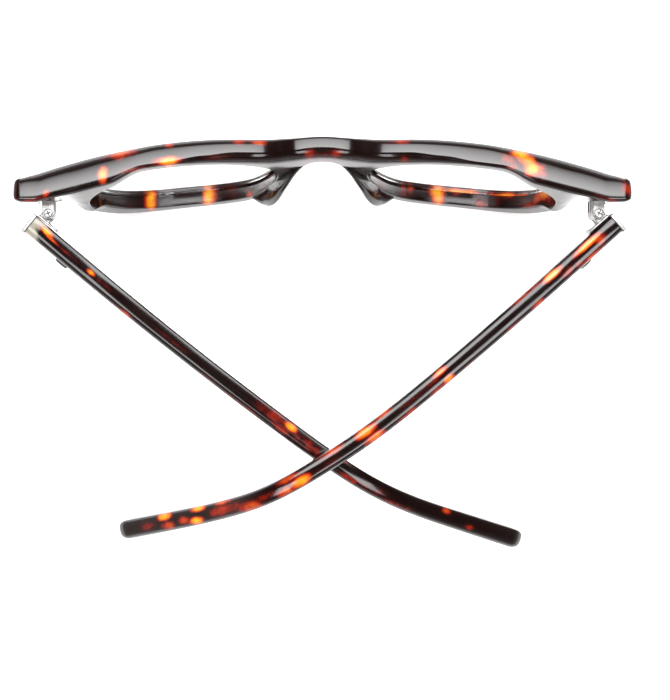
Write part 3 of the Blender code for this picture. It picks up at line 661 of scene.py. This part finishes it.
def opening_rings(sign):
    """Rings through a lens opening, with its rolled edges and the lens groove."""
    loop = lens_outline(sign)
    rings = []

    def ring(inset, depth_at):
        moved = offset(loop, lambda p: inset)
        rings.append([(q.x, depth_at(q), q.y) for q in moved])

    half = GROOVE_WIDTH / 2
    steps = [math.pi / 2 * k / ROLL_STEPS for k in range(ROLL_STEPS + 1)]
    for a in steps:
        ring(LENS_EDGE_ROLL * (1 - math.sin(a)),
             lambda q: wrap(q.x) + LENS_EDGE_ROLL * (1 - math.cos(a)))
    for inset, shift in ((0.0, -half), (GROOVE_HEIGHT, 0.0), (0.0, half)):
        ring(inset, lambda q: groove_middle(q.x) + shift)
    for a in reversed(steps):
        ring(LENS_EDGE_ROLL * (1 - math.sin(a)),
             lambda q: back_depth(q.x, q.y) - LENS_EDGE_ROLL * (1 - math.cos(a)))
    return rings


def front_mesh():
    """The front: its outer edge, two lens openings, and the two faces between them."""
    groups = [outer_rings(), opening_rings(1), opening_rings(-1)]
    verts, faces, starts = [], [], []
    for group in groups:
        starts.append(len(verts))
        ring_verts, ring_faces = bridge(group, closed_ends=False)
        faces += [tuple(starts[-1] + i for i in f) for f in ring_faces]
        verts += ring_verts
    for which in (0, -1):
        loops = [[Vector((v[0], v[2])) for v in group[which]] for group in groups]
        found, triangles, border = triangulate(loops[0], loops[1:], FACE_SPACING)
        index = []
        for start, group in zip(starts, groups):
            n = len(group[0])
            first = start + (which % len(group)) * n
            index += range(first, first + n)
        for p in found[border:]:
            index.append(len(verts))
            depth = wrap(p.x) if which == 0 else back_depth(p.x, p.y)
            verts.append((p.x, depth, p.y))
        faces += [tuple(index[i] for i in t) for t in triangles]
    return [tilted(*v) for v in verts], faces


def lens_mesh(sign):
    """A meniscus lens whose V edge sits in the groove; its last rings are the ground edge."""
    rim = offset(lens_outline(sign), lambda p: GROOVE_HEIGHT - LENS_GAP * 1.6)
    shoulder = offset(lens_outline(sign), lambda p: -LENS_GAP)
    middle = sum(shoulder, Vector((0, 0))) / len(shoulder)
    half = LENS_THICKNESS / 2

    def ring(loop, share, thick):
        depth = LENS_BULGE * (1 - share * share)
        out = []
        for p in loop:
            q = middle + (p - middle) * share
            out.append(tilted(q.x, groove_middle(q.x) - depth + thick, q.y))
        return out

    v_half = GROOVE_WIDTH / 2 - LENS_GAP
    shares = [0.1, 0.25, 0.4, 0.55, 0.7, 0.82, 0.91, 0.97, 0.99]
    rings = [ring(shoulder, share, -half) for share in shares]
    rings += [ring(shoulder, 1.0, -v_half), ring(rim, 1.0, 0.0), ring(shoulder, 1.0, v_half)]
    rings += [ring(shoulder, share, half) for share in reversed(shares)]
    return bridge(rings), len(shares), len(shoulder)


def nose_edge(height):
    """Half width of the nose arch at a height."""
    edge = LOWER_RIM[-1:] + NOSE
    for (x, low), (next_x, high) in zip(edge, edge[1:]):
        if height <= high:
            return x + (next_x - x) * (height - low) / (high - low)
    return edge[-1][0]


def pad_profile():
    """The pad's section as a fine smooth curve through its points."""
    pts = [Vector(p) for p in PAD_PROFILE]
    out = []
    for i in range(len(pts) - 1):
        before, a, b, after = pts[max(i - 1, 0)], pts[i], pts[i + 1], pts[min(i + 2, len(pts) - 1)]
        for k in range(PAD_PROFILE_STEPS):
            out.append(between(before, a, b, after, k / PAD_PROFILE_STEPS))
    return out + [pts[-1]]


def nose_pad_mesh(sign):
    """A pad that swells from the back of the rim beside the nose arch."""
    rings = []
    for k in range(PAD_RINGS):
        share_up = k / (PAD_RINGS - 1)
        height = PAD_LOW + (PAD_HIGH - PAD_LOW) * share_up
        swell = math.sin(math.pi * (0.02 + 0.96 * share_up ** 0.9)) ** 1.2
        width = PAD_WIDTH[0] + (PAD_WIDTH[1] - PAD_WIDTH[0]) * swell
        proud = PAD_PROUD * swell
        ring = []
        for across, share in pad_profile():
            x = nose_edge(height) - PAD_OVERHANG * swell + width * across + PAD_LEAN * share
            depth = back_depth(x, height) - PAD_SUNK + (proud + PAD_SUNK) * share
            ring.append(tilted(sign * x, depth, height))
        rings.append(ring)
    return bridge(rings)


# ---------------------------------------------------------------- hinges

def knuckle_levels():
    """(low, high) of each knuckle along the hinge's axis, bottom first."""
    bottom = -KNUCKLE_COUNT * KNUCKLE_HEIGHT / 2
    return [(bottom + i * KNUCKLE_HEIGHT + KNUCKLE_GAP / 2,
             bottom + (i + 1) * KNUCKLE_HEIGHT - KNUCKLE_GAP / 2) for i in range(KNUCKLE_COUNT)]


def knuckle_outline(reach_x, reach_y):
    """A round knuckle about the axis with a straight web out to one side."""
    r = KNUCKLE_RADIUS
    out = []
    steps = 24
    facing = math.atan2(reach_y, reach_x)
    for i in range(steps + 1):
        angle = facing + math.pi / 2 + math.pi * i / steps
        out.append(Vector((r * math.cos(angle), r * math.sin(angle))))
    along_web = Vector((reach_x, reach_y))
    across = Vector((-reach_y, reach_x)).normalized() * r
    out += [along_web - across, along_web + across]
    return counter_clockwise(out)


def leaf_outline(sign, margin, open_back=0.0):
    """The front leaf's plate, seen from above: it follows the slanted back of the end piece."""
    half = FRONT_LEAF_WIDTH / 2
    outer, inner = half + LEAF_SHIFT + margin, -half + LEAF_SHIFT - margin
    face = STOP_FACE_Y - HINGE_Y - 0.02
    slant = LEAF_SLANT * (outer - inner)
    points = [(outer, face + open_back), (outer, face - LEAF_THICKNESS - margin),
              (inner, face - slant - LEAF_THICKNESS - margin), (inner, face - slant + open_back)]
    return counter_clockwise([Vector((sign * x, y)) for x, y in points])


def joined(shapes):
    """Several closed shapes as one mesh."""
    verts, faces = [], []
    for more_verts, more_faces in shapes:
        faces += [tuple(len(verts) + i for i in f) for f in more_faces]
        verts += more_verts
    return verts, faces


def front_leaf_mesh(sign):
    face = STOP_FACE_Y - HINGE_Y
    half_h = FRONT_LEAF_HEIGHT / 2
    shapes = [prism(leaf_outline(sign, 0.0), -half_h, half_h)]
    for low, high in knuckle_levels()[::2]:
        shapes.append(prism(knuckle_outline(0, face - 0.6), low, high))
    return joined(shapes)


def temple_leaf_mesh(sign):
    inner = TEMPLE_INNER_FACE - TOUCHING_GAP
    outer_face = TEMPLE_INNER_FACE - TEMPLE_LEAF_PROUD
    start = END_CAP_FRONT + END_CAP_THICKNESS + TOUCHING_GAP
    half_h = TEMPLE_LEAF_HEIGHT / 2
    end = start + TEMPLE_LEAF_LENGTH
    slant = 0.6
    outline = [Vector(p) for p in ((sign * outer_face, start), (sign * inner, start),
                                   (sign * inner, end), (sign * (outer_face + 0.1), end - slant))]
    shapes = [prism(counter_clockwise(outline), -half_h, half_h)]
    for low, high in knuckle_levels()[1::2]:
        shapes.append(prism(knuckle_outline(sign * (outer_face + 0.3), 0), low, high))
    return joined(shapes)


def screw_profile():
    """(radius, height) up the screw: its shank, then the domed head."""
    top = knuckle_levels()[-1][1] + TOUCHING_GAP
    bottom = knuckle_levels()[0][0] - 0.2
    head, high = SCREW_HEAD_RADIUS, SCREW_HEAD_HEIGHT
    return [(SCREW_RADIUS * 0.8, bottom), (SCREW_RADIUS, bottom + 0.15), (SCREW_RADIUS, top),
            (head * 0.96, top), (head, top + 0.06), (head, top + high * 0.6),
            (head * 0.97, top + high * 0.84), (head * 0.82, top + high * 0.94),
            (head * 0.7, top + high)]


def screw_mesh():
    return bridge([[(p.x, p.y, z) for p in circle(0, 0, r, SCREW_SIDES)]
                   for r, z in screw_profile()])


def screw(sign, hinge, material, edge_material, name):
    """A screw with two crossed slots; its slots and the rim of its head take the edge material."""
    body = new_piece(name, screw_mesh(), hinge, material, 30)
    body.data.materials.append(edge_material)
    rings = len(screw_profile())
    for face in body.data.polygons:
        if min(face.vertices) // SCREW_SIDES == rings - 3 and len(face.vertices) == 4:
            face.material_index = 1
    top = knuckle_levels()[-1][1] + TOUCHING_GAP
    deep = top + SCREW_HEAD_HEIGHT * SLOT_FLOOR_SHARE
    for turn in SLOT_TURNS_DEG:
        spin = Matrix.Rotation(math.radians(turn * sign), 4, "Z")
        bar = [Vector((x * SLOT_HALF_LENGTH, y * SLOT_HALF_WIDTH))
               for x, y in ((-1, -1), (1, -1), (1, 1), (-1, 1))]
        tool = new_piece("slot", prism(bar, deep, top + 2), hinge @ spin, material)
        tool.data.materials.append(edge_material)
        for face in tool.data.polygons:
            face.material_index = 1
        cut(body, tool)
    body.data.shade_smooth()
    body.data.set_sharp_from_angle(angle=math.radians(30))
    return body


# ---------------------------------------------------------------- temples

def temple_frames(side):
    """(arc length, place, tangent, outward, up) along a temple, in its hinge's frame."""
    shape = SIDES[side]
    sign = shape["sign"]
    place = Vector((TEMPLE_INNER_FACE + along(TEMPLE_WIDTHS, 0) / 2, TEMPLE_START, 0))
    bow_rate = math.pi / BOW_END
    slope = math.radians(TEMPLE_SLOPE_DEG)
    out = []
    arc = 0.0
    while arc <= shape["length"] + 1e-6:
        turned = smooth(arc, shape["turn_at"], shape["turn_at"] + shape["turn_over"])
        turn = math.radians(shape["turn_deg"]) * turned
        bowed = 1 - smooth(arc, BOW_END - BOW_FADE, BOW_END + BOW_FADE)
        turn -= OUTWARD_BOW * bow_rate * math.cos(bow_rate * arc) * bowed
        dropped = smooth(arc, DROP_AT, DROP_AT + DROP_OVER)
        drop = slope + (math.radians(shape["drop_deg"]) - slope) * dropped
        tangent = Vector((-math.sin(turn), math.cos(turn) * math.cos(drop),
                          -math.cos(turn) * math.sin(drop)))
        facing = tangent if arc > 0.1 else Vector((0, 1, 0))
        outward = facing.cross(Vector((0, 0, 1))).normalized()
        up = outward.cross(facing)
        flip = Vector((sign, 1, 1))
        out.append((arc, place * flip, tangent * flip, outward * flip, up * flip))
        place = place + tangent * FRAME_STEP
        arc += FRAME_STEP
    return out


def quarter_section(width, height, roll, crown):
    """From the middle of the crowned top round one corner to the middle of the side."""
    reach = width / 2 - roll
    for _ in range(4):
        reach = width / 2 - roll * (1 - math.sin(reach / crown))
    lean = reach / crown
    sag = reach * reach / (2 * crown)
    quarter = []
    for k in range(CROWN_STEPS):
        x = reach * k / CROWN_STEPS
        quarter.append((x, height / 2 - x * x / (2 * crown)))
    for k in range(ROLL_STEPS + 1):
        angle = lean + (math.pi / 2 - lean) * k / ROLL_STEPS
        quarter.append((reach + roll * (math.sin(angle) - math.sin(lean)),
                        height / 2 - sag - roll * (math.cos(lean) - math.cos(angle))))
    return quarter


def section(width, height, outer, inner):
    """A bar with crowned top and bottom, as (outwards, up) points.

    outer and inner are the (corner roll, crown radius) of its two sides.
    """
    right = quarter_section(width, height, *outer)
    left = quarter_section(width, height, *inner)
    right += [(x, -z) for x, z in reversed(right)]
    left += [(x, -z) for x, z in reversed(left)]
    return right + [(-x, z) for x, z in reversed(left[1:-1])]


def frame_at(frames, arc):
    """The frame at an arc length, between the two nearest steps."""
    low = min(int(arc / FRAME_STEP), len(frames) - 2)
    share = arc / FRAME_STEP - low
    a, b = frames[low], frames[low + 1]
    return tuple(a[i] + (b[i] - a[i]) * share for i in range(5))


def ring_at(frames, arc, points):
    _, place, _, outward, up = frame_at(frames, arc)
    return [tuple(place + outward * x + up * z) for x, z in points]


def stations(start, end, spacing):
    count = max(1, round((end - start) / spacing))
    return [start + (end - start) * i / count for i in range(count + 1)]


def round_section(radius, count):
    return [(p.x, p.y) for p in circle(0, 0, radius, count)]


def temple_mesh(side):
    """The acetate temple, rounded at its tip, and where on it each of its points lies."""
    frames = temple_frames(side)
    shape = SIDES[side]
    shoulder = shape["length"] - TIP_LENGTH
    rings, spots = [], []

    def ring(arc, narrow, short):
        width, height = along(TEMPLE_WIDTHS, arc), along(TEMPLE_HEIGHTS, arc)
        points = [(x * narrow, z * short)
                  for x, z in section(width, height, shape["outer"], shape["inner"])]
        rings.append(ring_at(frames, arc, points))
        spots.extend((arc, x) for x, _ in points)

    for arc in stations(0, shoulder, STATION_SPACING):
        ring(arc, 1.0, 1.0)
    for k in range(1, TIP_RINGS):
        angle = math.pi / 2 * k / TIP_RINGS
        ring(shoulder + TIP_LENGTH * math.sin(angle), math.cos(angle) ** 0.8, math.cos(angle) ** 0.7)
    return bridge(rings), spots


def wire_mesh(side):
    """The core wire, pointed at its front end."""
    frames = temple_frames(side)
    rings = [ring_at(frames, WIRE_START, round_section(WIRE_RADIUS * 0.2, 20))]
    for arc in stations(WIRE_START + 2, SIDES[side]["length"] - WIRE_SHORT, 2.0):
        rings.append(ring_at(frames, arc, round_section(WIRE_RADIUS, 20)))
    return bridge(rings)


def end_cap_mesh(side):
    """Thin metal cap on the temple's butt."""
    frames = temple_frames(side)
    _, place, _, outward, up = frames[0]
    width, height = along(TEMPLE_WIDTHS, 0), along(TEMPLE_HEIGHTS, 0)
    points = section(width + 2 * END_CAP_OVERHANG, height + 2 * END_CAP_OVERHANG,
                     END_CAP_CORNER, END_CAP_CORNER)
    start = END_CAP_FRONT - TEMPLE_START
    rings = []
    for shift in (start, start + END_CAP_THICKNESS):
        at = place + Vector((0, shift, 0))
        rings.append([tuple(at + outward * x + up * z) for x, z in points])
    return bridge(rings)


def badge_mesh(side):
    """A plain oval plate on the temple's outer face, with a raised, narrowing top."""
    frames = temple_frames(side)
    _, place, tangent, outward, up = frame_at(frames, BADGE_AT)
    width = along(TEMPLE_WIDTHS, BADGE_AT)
    outline = [(math.cos(a) * BADGE_LENGTH / 2, math.sin(a) * BADGE_HEIGHT / 2)
               for a in (math.tau * i / 40 for i in range(40))]
    rings = []
    for proud, size in ((0.0, 1.0), (BADGE_PROUD * 0.5, 1.0), (BADGE_PROUD * 0.8, 0.9),
                        (BADGE_PROUD, 0.7)):
        base = place + outward * (width / 2 + proud)
        rings.append([tuple(base + tangent * x * size + up * z * size) for x, z in outline])
    return bridge(rings)


# ---------------------------------------------------------------- patches

def front_amber_and_glow(shift):
    """A function from a world point to how honey-coloured the front is there, painted glow of light
    through thin acetate included.
    """
    def weight(p):
        x, depth, height = upright(p, shift)
        best = 0.0
        for px, pd, ph, length, deep, strength in FRONT_PATCHES_AND_GLOWS:
            if abs(x - px) < 1.8 * length and abs(height - ph) < 9:
                gap = math.hypot((x - px) / length, (depth - wrap(x) - pd) / deep)
                gap *= 1 + 0.14 * math.sin(1.5 * x + 3 * pd) + 0.08 * math.sin(2 * depth - x)
                best = max(best, strength * (1 - smooth(gap, 0.1, PATCH_REACH)))
        return best
    return weight


def temple_amber_and_glow(side, arc, across):
    best = 0.0
    for at, out_by, length, width, strength in TEMPLE_PATCHES_AND_GLOWS[side]:
        gap = math.hypot((arc - at) / length, (across - out_by) / width)
        best = max(best, strength * (1 - smooth(gap, 0.2, 1.8)))
    return best


def temple_pale(side, arc, across, amber_and_glow):
    """How pale the butt is: up to a dark wedge where the core wire begins."""
    if not PALE_BUTT[side]:
        return 0.0
    start = PALE_BUTT[side] * (0.45 + 0.55 * min(abs(across) / 1.6, 1.0))
    return (1 - smooth(arc, start - 0.6, start + 0.4)) * (1 - smooth(amber_and_glow, 0.3, 0.7))


# ---------------------------------------------------------------- assembly

def joint_of(side):
    return next(j for j in frame["joints"] if j["name"] == f"{side}_temple_fold")


def hinge_matrix(side):
    """The hinge's own frame: its place from the joint, leaning about Y."""
    at = Vector(joint_of(side)["pos_m"])
    return Matrix.Translation(at) @ Matrix.Rotation(-math.radians(HINGE_LEAN_DEG), 4, "Y")


def fold_matrix(side):
    """The temple's frame: the hinge's frame, turned by how far the temple is folded at rest."""
    folded = -joint_of(side)["range_deg"][0] * SIDES[side]["sign"]
    return hinge_matrix(side) @ Matrix.Rotation(math.radians(folded), 4, "Z")


def make_front(acetate, lens_mat, edge_mat):
    at = Vector(joint_of("left")["pos_m"]) / MM
    shift = at - Vector((HINGE_X, HINGE_Y, HINGE_Z))
    place = Matrix.Translation(shift * MM)
    body = new_piece("acetate_front", front_mesh(), place, acetate, 50)
    for side, shape in SIDES.items():
        half_h = FRONT_LEAF_HEIGHT / 2 + RECESS_GAP
        recess = prism(leaf_outline(shape["sign"], RECESS_GAP, open_back=3.0), -half_h, half_h)
        cut(body, new_piece("recess", recess, hinge_matrix(side), acetate))
    body.data.shade_smooth()
    body.data.set_sharp_from_angle(angle=math.radians(50))
    # Honey patches and painted glow of light through thin acetate, stored on each vertex.
    amber_and_glow_at = front_amber_and_glow(shift)
    paint(body, "amber_and_glow", [amber_and_glow_at(v.co / MM) for v in body.data.vertices])
    stand_in(body, "frame_front")
    for side, shape in SIDES.items():
        mesh_data, shares, count = lens_mesh(shape["sign"])
        lens = new_piece(f"clear_lens_{side}", mesh_data, place, lens_mat, 25)
        lens.data.materials.append(edge_mat)
        for face in lens.data.polygons:
            ring = min(face.vertices) // count
            if ring == shares + 2 and len(face.vertices) == 4:
                face.material_index = 1
        stand_in(lens, f"lens_{side}")
        pad = new_piece(f"moulded_nose_pad_{side}", nose_pad_mesh(shape["sign"]), place, acetate, 60)
        paint(pad, "amber_and_glow", [PAD_PATCH_SHARE * amber_and_glow_at(v.co / MM) for v in pad.data.vertices])
        stand_in(pad, f"nose_pad_{side}")


def make_side(side, acetate, steel, edge_shade, wire_mat):
    sign = SIDES[side]["sign"]
    hinge, fold = hinge_matrix(side), fold_matrix(side)
    # The edge material here is painted shade: near-black on the metal's rounded edges, screw slots and
    # plate sides.
    leaf = new_piece(f"front_leaf_{side}", front_leaf_mesh(sign), hinge, steel, 30)
    stand_in(bevelled(leaf, edge_shade), f"front_hinge_leaf_{side}")
    head = screw(sign, hinge, steel, edge_shade, f"cross_screw_{side}")
    stand_in(head, f"hinge_screw_{side}")
    leaf = new_piece(f"temple_leaf_{side}", temple_leaf_mesh(sign), fold, steel, 30)
    stand_in(bevelled(leaf, edge_shade), f"temple_hinge_leaf_{side}")
    cap = new_piece(f"butt_cap_{side}", end_cap_mesh(side), fold, steel, 30)
    stand_in(bevelled(cap, edge_shade), f"temple_end_cap_{side}")
    badge = new_piece(f"side_plate_{side}", badge_mesh(side), fold, steel, 30)
    # Painted shade on the plate's sloping sides; its flat faces stay steel.
    badge.data.materials.append(edge_shade)
    for face in badge.data.polygons:
        face.material_index = 1 if len(face.vertices) == 4 else 0
    stand_in(badge, f"temple_badge_{side}")
    wire = new_piece(f"wire_core_{side}", wire_mesh(side), fold, wire_mat, 30)
    stand_in(wire, f"core_wire_{side}")
    mesh_data, spots = temple_mesh(side)
    temple = new_piece(f"acetate_temple_{side}", mesh_data, fold, acetate, 50)
    # Honey patches and painted glow of light through the thin temple edges, stored on each vertex.
    amber_and_glow_levels = [temple_amber_and_glow(side, arc, across) for arc, across in spots]
    paint(temple, "amber_and_glow", amber_and_glow_levels)
    paint(temple, "pale", [temple_pale(side, arc, across, amber_and_glow)
                           for (arc, across), amber_and_glow in zip(spots, amber_and_glow_levels)])
    stand_in(temple, f"temple_{side}")


# ---------------------------------------------------------------- stage

CAMERA_HEIGHT = 0.5994
CAMERA_X = -0.00293
CAMERA_Y = 0.0006
CAMERA_LENS = 122.97
SOFTBOX_HEIGHT = 0.95
SOFTBOX_SPREAD_DEG = 110.0
FILL_RADIANCE = 2.0
FRONT_RADIANCE = 4.9
BACK_RADIANCE = 4.4
BACK_SOFTBOX_X = 0.36


def area_light(name, place, width, depth, radiance, spread_deg=180.0):
    """A rectangular lamp facing straight down, of about the given radiance."""
    light = bpy.data.lights.new(name, "AREA")
    light.shape = "RECTANGLE"
    light.size, light.size_y = width, depth
    light.energy = radiance * math.pi * width * depth
    light.spread = math.radians(spread_deg)
    obj = bpy.data.objects.new(name, light)
    bpy.context.scene.collection.objects.link(obj)
    obj.location = place
    return obj


def make_stage():
    mat, tree, out = nodes_of("pale_floor")
    place = node(tree, "ShaderNodeTexCoord").outputs["Object"]
    grain = node(tree, "ShaderNodeTexNoise", {}, Vector=place, Scale=30.0, Detail=2.0).outputs["Fac"]
    colour = ramp(tree, grain, [(0.3, (0.93, 0.93, 0.93)), (0.7, (0.945, 0.945, 0.945))])
    shader = node(tree, "ShaderNodeBsdfPrincipled", {}, Base_Color=colour, Roughness=0.9)
    tree.links.new(shader.outputs[0], out.inputs["Surface"])
    bpy.ops.mesh.primitive_plane_add(size=8, location=(0, 0, 0))
    floor = bpy.context.object
    floor.name = "floor"
    floor.data.materials.append(mat)

    world = bpy.data.worlds.new("studio")
    bpy.context.scene.world = world
    world.use_nodes = True
    tree = world.node_tree
    background = tree.nodes["Background"]
    seen = node(tree, "ShaderNodeLightPath").outputs["Is Camera Ray"]
    direction = node(tree, "ShaderNodeTexCoord").outputs["Generated"]
    height = node(tree, "ShaderNodeSeparateXYZ", {}, Vector=direction).outputs["Z"]
    room = ramp(tree, height, [(0.0, (1.5, 1.46, 1.43)), (0.25, (0.75, 0.7, 0.68)),
                               (0.6, (0.05, 0.05, 0.05)), (1.0, (0.02, 0.02, 0.02))])
    shade = node(tree, "ShaderNodeMix", {"data_type": "RGBA"}, i0=seen, i6=room,
                 i7=(0.95, 0.95, 0.95, 1)).outputs[2]
    tree.links.new(shade, background.inputs["Color"])

    area_light("front_softbox", (0.0, -0.66, SOFTBOX_HEIGHT), 0.94, 1.0, FRONT_RADIANCE,
               SOFTBOX_SPREAD_DEG)
    for name, x in (("left_back_softbox", BACK_SOFTBOX_X), ("right_back_softbox", -BACK_SOFTBOX_X)):
        area_light(name, (x, 0.46, SOFTBOX_HEIGHT), 0.4, 0.54, BACK_RADIANCE, SOFTBOX_SPREAD_DEG)
    fill = area_light("overhead_fill", (0.0, 0.0, 2.4), 4.0, 4.0, FILL_RADIANCE)
    fill.visible_glossy = False


def make_camera():
    camera = bpy.data.cameras.new("camera")
    camera.sensor_width = 36.0
    camera.lens = CAMERA_LENS
    obj = bpy.data.objects.new("camera", camera)
    bpy.context.scene.collection.objects.link(obj)
    obj.location = (CAMERA_X, CAMERA_Y, CAMERA_HEIGHT)
    obj.rotation_euler = (0, 0, math.pi)
    bpy.context.scene.camera = obj
    bpy.context.scene.view_settings.view_transform = "Standard"


make_camera()
make_stage()
acetate = acetate_material("tortoiseshell")
steel = metal_material("polished_steel", (0.5, 0.495, 0.49), (0.38, 0.375, 0.37), 0.24)
wire_mat = metal_material("wire_steel", (0.5, 0.48, 0.46), (0.3, 0.28, 0.26), 0.3)
make_front(acetate, lens_material(), lens_edge_material())
# Near-black painted shade for the metal's edges and slots.
edge_shade = edge_shade_material()
for side_name in SIDES:
    make_side(side_name, acetate, steel, edge_shade, wire_mat)
